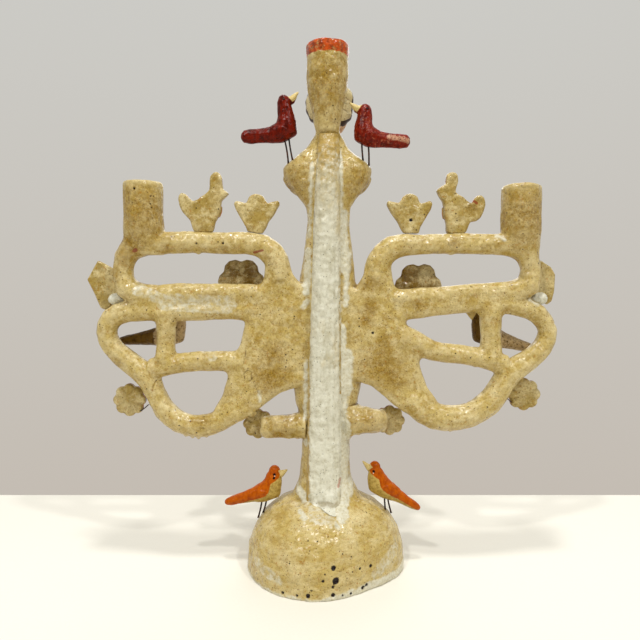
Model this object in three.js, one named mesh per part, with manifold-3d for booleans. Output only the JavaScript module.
// A clay tree of life: a candelabrum of fired clay. A standing figure rises from a hollow domed foot, carries
// one candle cup behind its head, and spreads two wings of rolled clay coils, each with a candle cup at its
// outer corner. Clay birds, hens, tulips, leaves and round flowers are stuck on afterwards, four of the birds
// on wire legs.
// Millimetres, +Z up. +Y is the figure's front, so the plain back with its long rib faces -Y. Left and right
// are those of somebody who looks at the back: left is -X.
import * as THREE from "three";
import { mergeVertices } from "three/addons/utils/BufferGeometryUtils.js";
import Module from "manifold-3d";

const wasm = await Module();
wasm.setup();

// ---- Driving dimensions ----
const GAP = 0.3; // left between pieces that touch
const DOME_RADIUS = 80;
const DOME_HEIGHT = 74;
const DOME_WALL = 8;
const DOME_SQUARENESS = 2.4; // 2 is an ellipse; more has fuller shoulders
const DOME_DENT = { angle: -1, spread: 0.6, depth: 0.13 }; // the rim was pressed in on one side
const WAIST_Z = 290; // where the skirt ends and the bodice starts
const NECK_Z = 432;
const WEB_THICKNESS = 16;
const COIL_RADIUS = 10.3;
const CUP_RADIUS = 19.3;
const SOCKET_RADIUS = 13.5;
const SOCKET_DEPTH = 34;
const WIRE_RADIUS = 0.9;
const FIGURINE_THICKNESS = 9; // hens and tulips, cut from a rolled slab
const FLOWER_THICKNESS = 7;
const FRONT_Y = COIL_RADIUS + 1.2; // where the ornaments on the wings' front begin

// ---- Solids ----

// A closed geometry as a manifold-3d solid.
function solidOf(geometry) {
  const bare = geometry.clone();
  bare.deleteAttribute("normal");
  bare.deleteAttribute("uv");
  const merged = mergeVertices(bare, 1e-3);
  const mesh = new wasm.Mesh({
    numProp: 3,
    vertProperties: merged.attributes.position.array,
    triVerts: new Uint32Array(merged.index.array),
  });
  return new wasm.Manifold(mesh);
}

// The solid's triangles as a flat-shaded geometry.
function geometryOf(solid) {
  const mesh = solid.getMesh();
  const geometry = new THREE.BufferGeometry();
  geometry.setAttribute("position", new THREE.BufferAttribute(mesh.vertProperties, mesh.numProp));
  geometry.setIndex(new THREE.BufferAttribute(mesh.triVerts, 1));
  const flat = geometry.toNonIndexed();
  flat.computeVertexNormals();
  return flat;
}

// A solid without what its neighbours take up. Crumbs that a cut leaves behind are dropped.
function fitted(solid, ...neighbours) {
  const cut = neighbours.reduce((left, neighbour) => left.subtract(neighbour), solid);
  return cut.decompose().reduce((a, b) => (a.volume() > b.volume() ? a : b));
}

// Sweeps an oval along a smooth curve. Each station is [x, y, z, across, deep]: a point, and the half sizes
// of the oval there, across in the plane square to `side` and deep along it. grow enlarges the solid all
// round, and level keeps every oval horizontal.
function sweep(stations, { grow = 0, sides = 12, steps = 2, side = [0, 1, 0], level = false } = {}) {
  const path = new THREE.CatmullRomCurve3(stations.map(([x, y, z]) => new THREE.Vector3(x, y, z)));
  const sizes = new THREE.CatmullRomCurve3(stations.map(([, , , a, b]) => new THREE.Vector3(a, b, 0)));
  const tube = new THREE.CylinderGeometry(1, 1, 1, sides, (stations.length - 1) * steps);
  const position = tube.attributes.position;
  const sideways = new THREE.Vector3(...side);
  for (let i = 0; i < position.count; i++) {
    const t = THREE.MathUtils.clamp(0.5 - position.getY(i), 0, 1);
    const centre = path.getPoint(t);
    const tangent = level ? new THREE.Vector3(0, 0, 1) : path.getTangent(t);
    const deep = sideways.clone().addScaledVector(tangent, -sideways.dot(tangent)).normalize();
    const across = new THREE.Vector3().crossVectors(deep, tangent);
    const size = sizes.getPoint(t);
    const end = t === 0 ? -grow : t === 1 ? grow : 0;
    centre.addScaledVector(across, position.getX(i) * (size.x + grow));
    centre.addScaledVector(deep, position.getZ(i) * (size.y + grow));
    centre.addScaledVector(tangent, end);
    position.setXYZ(i, centre.x, centre.y, centre.z);
  }
  const swept = solidOf(tube);
  return swept.volume() > 0 ? swept : solidOf(tube.scale(-1, 1, 1)).scale([-1, 1, 1]);
}

// An upright sweep through level ovals [z, half width, half depth, middle x, middle y].
function upright(sections, options = {}) {
  const stations = sections.map(([z, across, deep, x, y]) => [x, y, z, across, deep]);
  return sweep(stations, { sides: 16, level: true, ...options });
}

// A coil of rolled clay in the wing's plane, through points [x, z] or [x, z, radius].
function coil(points, grow = 0) {
  const stations = points.map(([x, z, radius = COIL_RADIUS]) => [x, 0, z, radius, radius]);
  return sweep(stations, { grow, sides: 10 });
}

// A piece of rolled slab from y to y + thickness, with a rounded edge. outline is a THREE.Shape in x and z.
function slab(outline, y, thickness, { grow = 0, edge = 1.5 } = {}) {
  const geometry = new THREE.ExtrudeGeometry(outline, {
    depth: thickness - 2 * edge + 2 * grow,
    bevelThickness: edge,
    bevelSize: edge,
    bevelOffset: grow - edge,
    bevelSegments: 1,
  });
  geometry.rotateX(Math.PI / 2);
  geometry.translate(0, y + thickness - edge + grow, 0);
  return solidOf(geometry);
}

const cornered = (points) => new THREE.Shape(points.map(([x, z]) => new THREE.Vector2(x, z)));

// A closed outline with soft corners through the points [x, z].
function softened(points, divisions = 2) {
  const corners = points.map(([x, z]) => new THREE.Vector3(x, z, 0));
  const curve = new THREE.CatmullRomCurve3(corners, true);
  return new THREE.Shape(curve.getPoints(points.length * divisions).slice(0, -1));
}

// A round flower of so many lobes. Between the lobes its edge is drawn in by depth, a fraction of the radius.
function scalloped({ x, z, radius, petals, depth = 0.12 }) {
  const count = petals * 4;
  const points = Array.from({ length: count }, (_, i) => {
    const angle = (i / count) * 2 * Math.PI;
    const reach = radius * (1 - depth * (1 - Math.abs(Math.cos((petals / 2) * angle))));
    return new THREE.Vector2(x + reach * Math.cos(angle), z + reach * Math.sin(angle));
  });
  return new THREE.Shape(points);
}

// A straight wire from one point to another.
function wire(from, to, grow = 0) {
  const a = new THREE.Vector3(...from);
  const b = new THREE.Vector3(...to);
  const along = b.clone().sub(a);
  const radius = WIRE_RADIUS + grow;
  const rod = new THREE.CylinderGeometry(radius, radius, along.length() + 2 * grow, 6);
  const upwards = new THREE.Vector3(0, 1, 0);
  rod.applyQuaternion(new THREE.Quaternion().setFromUnitVectors(upwards, along.normalize()));
  rod.translate(...a.add(b).multiplyScalar(0.5).toArray());
  return solidOf(rod);
}

function ellipsoid([x, y, z], [a, b, c], grow = 0, segments = 16) {
  const ball = new THREE.SphereGeometry(1, segments, segments / 2);
  ball.rotateX(Math.PI / 2);
  ball.scale(a + grow, b + grow, c + grow);
  ball.translate(x, y, z);
  return solidOf(ball);
}

// Turns a profile of [radius, z] points about a vertical axis at x, y. press scales the radius by direction.
function turned(profile, { x = 0, y = 0, segments = 18, press = () => 1 } = {}) {
  const geometry = new THREE.LatheGeometry(profile.map(([r, z]) => new THREE.Vector2(r, z)), segments);
  geometry.rotateX(Math.PI / 2);
  const position = geometry.attributes.position;
  for (let i = 0; i < position.count; i++) {
    const factor = press(Math.atan2(position.getY(i), position.getX(i)));
    position.setXY(i, position.getX(i) * factor, position.getY(i) * factor);
  }
  geometry.translate(x, y, 0);
  return solidOf(geometry);
}

// ---- The foot ----

// A quarter of a superellipse, from the rim up to the axis.
function domeCurve(radius, height, steps) {
  const power = 2 / DOME_SQUARENESS;
  const points = Array.from({ length: steps }, (_, i) => {
    const angle = (i / steps) * (Math.PI / 2);
    return [radius * Math.cos(angle) ** power, height * Math.sin(angle) ** power];
  });
  return [...points, [0, height]];
}

function dented(angle) {
  const away = (angle - DOME_DENT.angle) / DOME_DENT.spread;
  return 1 - DOME_DENT.depth * Math.exp(-away * away);
}
const domeTurned = (profile) => turned(profile, { segments: 32, press: dented });
const domeBlank = (grow = 0) =>
  domeTurned([[0, 0], ...domeCurve(DOME_RADIUS + grow, DOME_HEIGHT + grow, 7)]);

// The dome is hollow and open underneath.
function baseDome() {
  const inside = DOME_RADIUS - DOME_WALL;
  const hollow = [[0, -1], [inside, -1], ...domeCurve(inside, DOME_HEIGHT - DOME_WALL, 6)];
  return domeBlank().subtract(domeTurned(hollow));
}

// ---- The figure ----

const SKIRT = [
  [62, 40, 36, 0, 2],
  [74, 33, 30, 0, 4],
  [88, 26.5, 24, -0.5, 6],
  [125, 24.5, 20, 0, 7],
  [150, 28, 20, 1, 8],
  [178, 34, 21, 1.5, 8],
  [230, 33, 21, 2, 8],
  [WAIST_Z - GAP / 2, 28, 20, 2, 8],
];
const BODICE = [
  [WAIST_Z + GAP / 2, 28, 20, 2, 8],
  [312, 24.8, 18, 2, 7],
  [345, 21, 16, 2.5, 6],
  [360, 22, 16, 2.5, 6],
  [376, 34.5, 18, 2, 6],
  [390, 44, 19, 1.5, 6],
  [399, 44.5, 18, 1.5, 6],
  [408, 34, 16, 1.5, 6],
  [418, 21, 15, 1.2, 6],
  [NECK_Z - GAP / 2, 12.5, 14.5, 1.4, 6.5],
];
const RIB = [
  [58, 18.5, 9, -2.5, -30],
  [72, 17.5, 9, -2.3, -22],
  [95, 17, 9.5, -2, -15],
  [180, 16, 10, -1, -12],
  [290, 14, 10.5, 0, -12],
  [380, 12.5, 10, 1.5, -12],
  [415, 11.5, 8, 2, -8.5],
  [430, 10, 5, 2, -5],
];
const HEAD = { at: [4.7, 20, 457.3], half: [18.5, 20, 25.5] };
const HAIR = { at: [4.2, 16, 462.5], half: [24.8, 18, 24] };

// The cup on the head tapers down to the nape.
const HEAD_CUP = { x: 1, y: 0, top: 516.5, radius: 20.3, socketRadius: 14.2 };
function headCupBlank(grow = 0) {
  const { x, y, top, radius } = HEAD_CUP;
  const bottom = NECK_Z + GAP / 2 - grow;
  const profile = [
    [0, bottom],
    [11.3 + grow, bottom],
    [13.6 + grow, 443],
    [16.2 + grow, 458],
    [19.2 + grow, 472],
    [20.6 + grow, 488],
    [radius + grow, 503],
    [radius + 0.9 + grow, 509],
    [radius + 0.9 + grow, top - 1.5],
    [radius - 0.6, top + grow],
    [0, top + grow],
  ];
  return turned(profile, { x, y });
}

// The hole for a candle, open at the top.
function socket({ x, y = 0, top, socketRadius = SOCKET_RADIUS }) {
  const bottom = top - SOCKET_DEPTH;
  const lip = socketRadius + 0.6;
  const profile = [
    [0, bottom],
    [socketRadius - 1, bottom],
    [socketRadius, bottom + 2],
    [lip, top + 2],
    [0, top + 2],
  ];
  return turned(profile, { x, y });
}

// An arm folds from the shoulder to the middle of the chest. hand is -1 for the left, 1 for the right.
function arm(hand, grow = 0) {
  const stations = [
    [1.5 + 36 * hand, 13, 393, 11, 11],
    [1.5 + 31 * hand, 25, 385, 9.5, 9.5],
    [1.5 + 18 * hand, 31, 377, 7.5, 7],
    [1.5 + 8 * hand, 32, 375, 6.5, 5.5],
    [1.5 + 2.2 * hand, 32, 377, 5, 4],
  ];
  return sweep(stations, { grow, sides: 10, side: [0, 0, 1] });
}

// ---- The wings ----

// Each wing lies in the plane y = 0. A web is an outline of [x, z]; coils are [x, z, radius] along their
// middle.
const WINGS = {
  left: {
    web: [
      [-14, 287], [-26, 283], [-33, 293], [-38, 308], [-50, 316], [-60, 300], [-62, 287], [-74, 275],
      [-80, 245], [-86, 222], [-92, 210], [-97, 195], [-104, 172], [-113, 157], [-100, 143], [-84, 146],
      [-64, 161], [-46, 175], [-33, 180], [-14, 184],
    ],
    upperLoop: [
      [-46, 288, 12], [-48, 306, 12.5], [-63, 322, 12.5], [-100, 324.5, 10.8], [-160, 324.5, 10.8],
      [-194, 318.5, 12], [-202, 300, 10], [-199, 281, 12], [-181, 272.5, 11.8], [-150, 274, 10.3],
      [-95, 274.5, 10], [-62, 273, 10.5],
    ],
    lowerLoop: [
      [-68, 257.5, 10], [-110, 257.5, 9.8], [-160, 256.5, 9.8], [-198, 256.5, 10.8], [-214, 249.5, 10.4],
      [-219.5, 235, 9.8], [-213.5, 220, 10], [-198, 206, 11], [-181, 192, 11.5], [-172.5, 176, 10.5],
      [-163, 157, 10.8], [-148, 144.5, 11], [-128, 140.5, 11.2], [-106, 146, 11.5], [-88, 158, 11.5],
    ],
    crossCoil: [[-80, 206, 11], [-110, 206.3, 10.2], [-145, 205, 10.2], [-176, 199, 10.5]],
    post: [[-160.5, 206, 12], [-160.5, 220, 9.6], [-160.5, 240, 9.6], [-160.5, 258, 12]],
    cup: { x: -181, top: 384, foot: 313 },
    branch: [[-20, 141, 14], [-34, 140.5, 12.3], [-50, 140.5, 11], [-66, 140, 10.5]],
    innerFlower: { x: -86.4, z: 286.5, radius: 24, petals: 6, depth: 0.15 },
    outerFlower: { x: -202.6, z: 164.5, radius: 17, petals: 8 },
    lowFlower: { x: -70, z: 140, radius: 15.5, petals: 8 },
    leaf: [[-232, 307.5], [-217, 300], [-208, 284], [-212, 267], [-225, 257.5], [-230, 260], [-243, 288.5]],
    mortar: [-210.5, 6, 268.5],
    flowerWire: [[-181, 7, 161], [-191, 13, 153]],
  },
  right: {
    web: [
      [14, 283], [30, 279], [37, 292], [43, 309], [54, 314], [64, 300], [66, 286], [73, 268],
      [79, 245], [86, 232], [92, 216], [94, 202], [101, 181], [112, 165], [96, 146], [77, 156],
      [59, 171], [45, 182], [33, 187], [14, 190],
    ],
    upperLoop: [
      [49, 287, 12], [51.5, 305, 12.5], [66, 320.5, 12.3], [95, 323.3, 10.6], [165, 323.5, 10.3],
      [195, 318.5, 12], [203.5, 301, 10.3], [201.5, 282.5, 12.5], [183, 276, 11], [150, 275, 9.5],
      [105, 271.5, 9.3], [66, 269, 10],
    ],
    lowerLoop: [
      [66, 255, 8.5], [115, 260.5, 8.5], [155, 264.5, 9], [190, 262.5, 10.3], [212, 253.5, 10],
      [222, 237, 9.8], [217, 221, 10], [202, 206.5, 10.5], [184, 194, 12], [175.5, 179, 12.2],
      [164, 164, 12.5], [146, 152.5, 12.3], [120, 148.6, 12.8], [99, 155.5, 13.3], [84, 170, 12.5],
    ],
    crossCoil: [
      [74, 233, 12], [90, 225, 11.5], [106, 217.5, 10.5], [130, 213.5, 9.6], [156, 209.7, 9.6],
      [180, 202, 10.5],
    ],
    post: [[165.5, 206, 12], [165.5, 222, 9.8], [165, 240, 10], [164.5, 262, 12.5]],
    cup: { x: 193.5, top: 381, foot: 312 },
    branch: [[20, 146, 15], [34, 146, 13], [48, 146.5, 11.8], [62, 146.5, 11]],
    innerFlower: { x: 94.4, z: 282, radius: 24, petals: 6, depth: 0.15 },
    outerFlower: { x: 204.3, z: 170.5, radius: 17, petals: 8 },
    lowFlower: { x: 66, z: 143.5, radius: 15.5, petals: 8 },
    leaf: [
      [212, 309], [219, 307.5], [229, 301], [233.5, 293.5], [233, 276], [230.5, 266.5], [226, 263],
      [216, 272], [210, 284],
    ],
    mortar: [213, 6, 269.5],
    flowerWire: [[183.5, 7, 168], [192, 13, 162]],
  },
};

const webBlank = (outline, grow = 0) =>
  slab(cornered(outline), -WEB_THICKNESS / 2, WEB_THICKNESS, { grow, edge: 3 });
const mortarBlank = (at, grow = 0) => ellipsoid(at, [10, 9, 6.5], grow, 12);

// A cup stands over the upper loop's corner and is nipped in, front and back, to meet the coil.
function sideCup({ x, top, foot }) {
  const sections = [
    [foot, CUP_RADIUS - 0.8, 9, x, 0],
    [foot + 10, CUP_RADIUS, 12.5, x, 0],
    [foot + 22, CUP_RADIUS, 17.5, x, 0],
    [foot + 34, CUP_RADIUS, CUP_RADIUS, x, 0],
    [top - 2, CUP_RADIUS, CUP_RADIUS, x, 0],
    [top, CUP_RADIUS - 1.5, CUP_RADIUS - 1.5, x, 0],
  ];
  return upright(sections, { sides: 18, steps: 1 });
}

// ---- Figurines ----

// Outlines [x, z] from a foot at the middle of the bottom edge. They face +x.
const LEFT_HEN = [
  [-8, 0], [8, 0], [12, 12], [17, 22], [18, 33], [25.5, 39.5], [19, 43.5], [19, 55], [13.5, 60.5], [7.5, 56],
  [6.5, 43], [-1, 36.5], [-10, 31.5], [-16, 38], [-21.5, 40], [-24.5, 33.5], [-20, 21], [-12.5, 13],
];
const RIGHT_HEN = [
  [7.5, 0], [9.6, 10.8], [12.2, 22.7], [12.8, 32.5], [19.8, 43.7], [10.5, 49.6], [9.2, 58.5], [4, 61.3],
  [-0.6, 58.5], [-1.3, 51.1], [1, 42.3], [-7, 36.4], [-14.5, 30.5], [-17.9, 35.4], [-22.8, 38.6],
  [-26.8, 36.4], [-28.6, 28.5], [-24.1, 17.2], [-19.2, 13.3], [-14.2, 12.8], [-11.3, 5.9], [-7.4, 0],
];
const TULIP = [
  [-5.8, 0], [5.8, 0], [14, 14], [24.5, 30], [23, 34], [12.5, 31.5], [8.5, 38], [1.5, 41], [-5.5, 38],
  [-8.5, 31], [-18, 34], [-20.5, 31], [-15, 19], [-8.5, 8],
];

// A bird's body runs from the tip of its tail over the breast to the crown, through [along, up, half height,
// half width] from the middle of the breast. Its beak is [along, up, radius]. It looks towards +x.
const PERCHING = {
  body: [
    [-43.5, -5, 2.8, 2.6], [-41, -5.2, 6, 5.6], [-34, -5.4, 7, 6.4], [-24, -4.7, 6.9, 6.4],
    [-14, -3.6, 7.8, 7.4], [-5, -1.8, 9.8, 9], [1.4, 2.4, 11.2, 9.8], [0.9, 12, 8.7, 8],
    [-0.7, 21, 7.6, 7.4], [-1.5, 28.5, 6.8, 6.6], [-1.7, 33, 4.6, 4.6], [-1.7, 35, 1.6, 1.6],
  ],
  beak: [[-1, 27, 5], [6.5, 30.2, 3.9], [13, 38.2, 0.6]],
};
const LEANING = {
  body: [
    [-46, -12.3, 1.8, 2], [-43.5, -11.9, 3.2, 4], [-38, -10.5, 4.3, 5.5], [-28, -7.8, 5.4, 6],
    [-18, -5, 6.9, 6.8], [-8, -2.5, 9.2, 8.4], [1.5, 1.5, 11.3, 9.2], [3.2, 10, 8.8, 7.8],
    [4.4, 17, 7, 6.4], [4.9, 22, 5.4, 5], [5, 26.2, 1.6, 1.6],
  ],
  beak: [[5, 15.5, 5], [11.5, 17, 3.6], [18.5, 21.5, 0.6]],
};
const beakUp = { ...LEANING, beak: [[4, 14, 4.8], [10, 18.5, 3.6], [17.5, 26.5, 0.6]] };

// A bird whose breast is at x, y, z. turn is 1 if it looks towards +x, -1 if towards -x. droop lowers its
// tail and bow leans its neck forwards, both in radians; neck scales the neck's length.
function bird({ body, beak }, [x, y, z], turn, { size = 1, droop = 0, bow = 0, neck = 1 } = {}) {
  const placed = ([along, up]) => {
    const isTail = up < 0;
    const lean = isTail ? droop : -bow;
    const rise = isTail ? up : up * neck;
    const u = along * Math.cos(lean) - rise * Math.sin(lean);
    const v = along * Math.sin(lean) + rise * Math.cos(lean);
    return [x + turn * size * u, y, z + size * v];
  };
  const bodyStations = body.map((point) => [...placed(point), size * point[2], size * point[3]]);
  const beakStations = beak.map((point) => [...placed(point), size * point[2], size * point[2]]);
  return sweep(bodyStations, { sides: 10, steps: 1 }).add(sweep(beakStations, { sides: 8, steps: 1 }));
}

// ---- Assembly ----

const MATERIALS = {
  clay: { color: 0xc9b57f, roughness: 0.55 },
  plaster: { color: 0xe2dbbd, roughness: 0.75 },
  face: { color: 0xe6cfae, roughness: 0.5 },
  hair: { color: 0x33241a, roughness: 0.45 },
  red: { color: 0x8f2410, roughness: 0.4 },
  orange: { color: 0xd9660f, roughness: 0.4 },
  wire: { color: 0x2e2620, roughness: 0.5, metalness: 0.8 },
};
const tree = new THREE.Group();
function add(name, solid, material = "clay") {
  const mesh = new THREE.Mesh(geometryOf(solid), new THREE.MeshStandardMaterial(MATERIALS[material]));
  mesh.name = name;
  tree.add(mesh);
}

// The figure. Neighbours are cut back by a blank that is grown by the gap.
const dome = domeBlank(GAP);
const skirt = upright(SKIRT, { grow: GAP });
const bodice = upright(BODICE, { grow: GAP });
const headCup = headCupBlank(GAP);
const head = ellipsoid(HEAD.at, HEAD.half, GAP);

add("base_dome", baseDome());
add("skirt", fitted(upright(SKIRT), dome));
add("bodice", upright(BODICE));
add("head_candle_cup", headCupBlank().subtract(socket(HEAD_CUP)));
add("head", fitted(ellipsoid(HEAD.at, HEAD.half), headCup, bodice), "face");
add("hair", fitted(ellipsoid(HAIR.at, HAIR.half), headCup, bodice, head), "hair");
add("left_arm", fitted(arm(-1), bodice, head));
add("right_arm", fitted(arm(1), bodice, head, arm(-1, GAP)));

// The wings.
const grownWings = {};
for (const [side, wing] of Object.entries(WINGS)) {
  const web = webBlank(wing.web, GAP);
  const [upper, lower, cross, post, branch] = [
    wing.upperLoop, wing.lowerLoop, wing.crossCoil, wing.post, wing.branch,
  ].map((points) => coil(points, GAP));
  grownWings[side] = { web, upper, lower, cross, post };
  add(`${side}_wing_web`, fitted(webBlank(wing.web), skirt, bodice));
  add(`${side}_upper_loop`, fitted(coil(wing.upperLoop), web, bodice, skirt));
  add(`${side}_lower_loop`, fitted(coil(wing.lowerLoop), web, upper));
  add(`${side}_cross_coil`, fitted(coil(wing.crossCoil), web, lower));
  add(`${side}_post`, fitted(coil(wing.post), lower, cross, upper));
  add(`${side}_candle_cup`, fitted(sideCup(wing.cup), upper, socket(wing.cup)));
  add(`${side}_branch`, fitted(coil(wing.branch), skirt, web));

  const innerFlower = slab(scalloped(wing.innerFlower), FRONT_Y, FLOWER_THICKNESS);
  const outerFlower = slab(scalloped(wing.outerFlower), FRONT_Y, FLOWER_THICKNESS);
  const lowFlower = slab(scalloped(wing.lowFlower), FRONT_Y - 1.5, FLOWER_THICKNESS);
  add(`${side}_inner_flower`, fitted(innerFlower, upper, web));
  add(`${side}_outer_flower`, fitted(outerFlower, wire(...wing.flowerWire, GAP), lower));
  add(`${side}_outer_flower_wire`, fitted(wire(...wing.flowerWire), lower), "wire");
  add(`${side}_low_flower`, fitted(lowFlower, branch, web, lower));

  const leaf = slab(cornered(wing.leaf), FRONT_Y, 6, { edge: 1 });
  add(`${side}_leaf`, fitted(leaf, upper, lower, mortarBlank(wing.mortar, GAP)));
  add(`${side}_leaf_mortar`, fitted(mortarBlank(wing.mortar), upper, lower), "plaster");
}
const rib = upright(RIB, { sides: 12, steps: 1 });
const ribNeighbours = [dome, skirt, bodice, headCup, grownWings.left.web, grownWings.right.web];
add("back_rib", fitted(rib, ...ribNeighbours), "plaster");

// Hens and tulips stand on the upper loops.
const STANDING = [
  ["left_hen", LEFT_HEN, -121.5, 333.4, 1, "left"],
  ["left_tulip", TULIP, -70.5, 331.8, 1, "left"],
  ["right_tulip", TULIP, 84.5, 331.8, -1, "right"],
  ["right_hen", RIGHT_HEN, 128.6, 332.4, -1, "right"],
];
for (const [name, outline, x, z, turn, side] of STANDING) {
  const shape = softened(outline.map(([u, v]) => [x + turn * u, z + v]));
  const figurine = slab(shape, -FIGURINE_THICKNESS / 2, FIGURINE_THICKNESS);
  add(name, fitted(figurine, grownWings[side].upper));
}

// Birds that lean against the front of the posts.
const wingBirds = {
  left: bird(LEANING, [-159.5, 21, 231.5], 1, { size: 1.2, droop: -0.15 }),
  right: bird(LEANING, [165.5, 21, 231.5], -1, { size: 1.16, droop: 0.02 }),
};
for (const [side, solid] of Object.entries(wingBirds)) {
  const { post, lower, cross, upper } = grownWings[side];
  add(`${side}_wing_bird`, fitted(solid, post, lower, cross, upper));
}

// Birds on two wire legs each: red ones on the shoulders, orange ones on the foot. Legs are [x, z] pairs.
const LEGGED = [
  {
    name: "left_red_bird",
    colour: "red",
    solid: bird(PERCHING, [-40, 0, 434], 1),
    legs: [[[-42, 430], [-37, 402]], [[-37, 430], [-32.6, 403]]],
  },
  {
    name: "right_red_bird",
    colour: "red",
    solid: bird(PERCHING, [38.8, 0, 429.5], -1, { neck: 0.88, bow: 0.09 }),
    legs: [[[35, 427], [36.6, 401]], [[40.8, 427], [42.2, 400]]],
  },
  {
    name: "left_orange_bird",
    colour: "orange",
    solid: bird(LEANING, [-57, 0, 74.5], 1),
    legs: [[[-64.5, 68], [-69, 46]], [[-59.5, 69], [-64.5, 47]]],
  },
  {
    name: "right_orange_bird",
    colour: "orange",
    solid: bird(beakUp, [54.5, 0, 80], -1, { droop: 0.27, neck: 0.93 }),
    legs: [[[60, 72], [60.7, 54]], [[62, 72], [66.5, 51]]],
  },
];
for (const { name, colour, solid, legs } of LEGGED) {
  const ends = legs.map((leg) => leg.map(([x, z]) => [x, 0, z]));
  add(name, fitted(solid, dome, bodice, ...ends.map((leg) => wire(...leg, GAP))), colour);
  ends.forEach((leg, i) => add(`${name}_leg_${i + 1}`, fitted(wire(...leg), dome, bodice), "wire"));
}

// The origin is the middle of the object's box on the surface that it stands on.
const box = new THREE.Box3().setFromObject(tree);
const middle = box.getCenter(new THREE.Vector3());
tree.position.set(-middle.x, -middle.y, -box.min.z);
export default tree;
